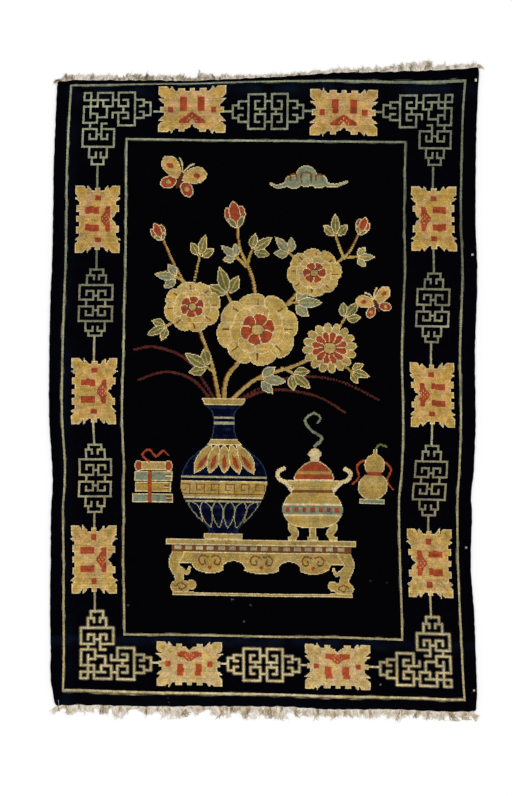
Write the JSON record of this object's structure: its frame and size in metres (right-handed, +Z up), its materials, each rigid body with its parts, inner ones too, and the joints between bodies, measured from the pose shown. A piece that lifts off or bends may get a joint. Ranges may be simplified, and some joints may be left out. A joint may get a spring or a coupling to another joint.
{
  "type": "hand-knotted paotou rug",
  "caption": "Rectangular hand-knotted wool rug lying flat, pile up: fret and leaf-plaque border round a dark still-life field, with short cut cotton warp fringe at both ends",
  "frame": {"origin": "middle of the whole outline, on the floor under the rug", "axes": "+X across the rug, +Y along it towards its upper end, +Z up out of the pile"},
  "size_m": [1.325, 2.0238, 0.0095],
  "materials": {
    "wool_pile": "matte hand-knotted wool pile",
    "cotton_warp": "undyed plied cotton"
  },
  "bodies": {
    "root": {"rug": "wool_pile", "fringe_top": "cotton_warp", "fringe_bottom": "cotton_warp"}
  },
  "joints": []
}
